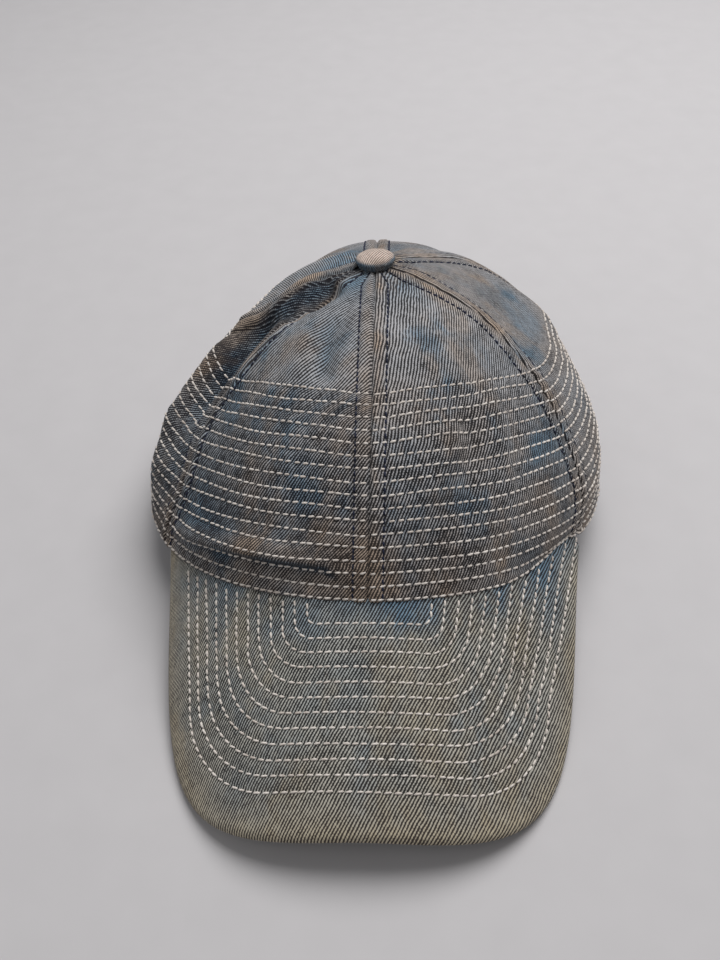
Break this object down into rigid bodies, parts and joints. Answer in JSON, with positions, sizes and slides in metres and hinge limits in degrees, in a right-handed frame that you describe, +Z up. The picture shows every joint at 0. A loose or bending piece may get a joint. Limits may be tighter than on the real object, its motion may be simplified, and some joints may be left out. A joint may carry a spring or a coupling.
{
  "type": "baseball cap",
  "caption": "Soft denim baseball cap with a curved, stiffened bill, a sweatband, and a rear opening closed by a strap in a clamping buckle.",
  "frame": {"origin": "bottom centre of the cap's bounding box, on the surface it rests on", "axes": "-Y towards the front of the bill, +Y towards the buckle, +X towards the wearer's left, +Z up"},
  "size_m": [0.182, 0.2542, 0.0978],
  "materials": {
    "denim": "washed blue-grey twill with a tan cast",
    "seam_tape": "dark woven cotton tape",
    "sweatband_cotton": "washed cotton twill",
    "bill_board": "moulded polyethylene board",
    "button_steel": "zinc-plated stamping",
    "buckle_brass": "antique brass"
  },
  "bodies": {
    "crown": {"front_panel_left": "denim", "front_panel_right": "denim", "side_panel_left": "denim", "side_panel_right": "denim", "back_panel_left": "denim", "back_panel_right": "denim", "seam_tape_centre": "seam_tape", "seam_tape_front_left": "seam_tape", "seam_tape_front_right": "seam_tape", "seam_tape_back_left": "seam_tape", "seam_tape_back_right": "seam_tape", "rear_opening_facing": "seam_tape", "sweatband": "sweatband_cotton", "bill_top_cover": "denim", "bill_board": "bill_board", "bill_under_cover": "denim", "button_cover": "denim", "button_shell": "button_steel", "button_rivet": "button_steel", "buckle_tab": "denim", "buckle_frame": "buckle_brass", "buckle_pin": "buckle_brass"},
    "strap": {"strap": "denim"},
    "lever": {"buckle_lever": "buckle_brass"}
  },
  "joints": [
    {"name": "strap_slide", "type": "hinge", "parent": "crown", "child": "strap", "pos_m": [0, 0.0378, 0.02715], "axis": [0, 0.1599, 0.9871], "range_deg": [-8, 12]},
    {"name": "lever_hinge", "type": "hinge", "parent": "crown", "child": "lever", "pos_m": [0.02076, 0.12094, 0.01368], "axis": [0, -0.1599, -0.9871], "range_deg": [0, 100]}
  ]
}
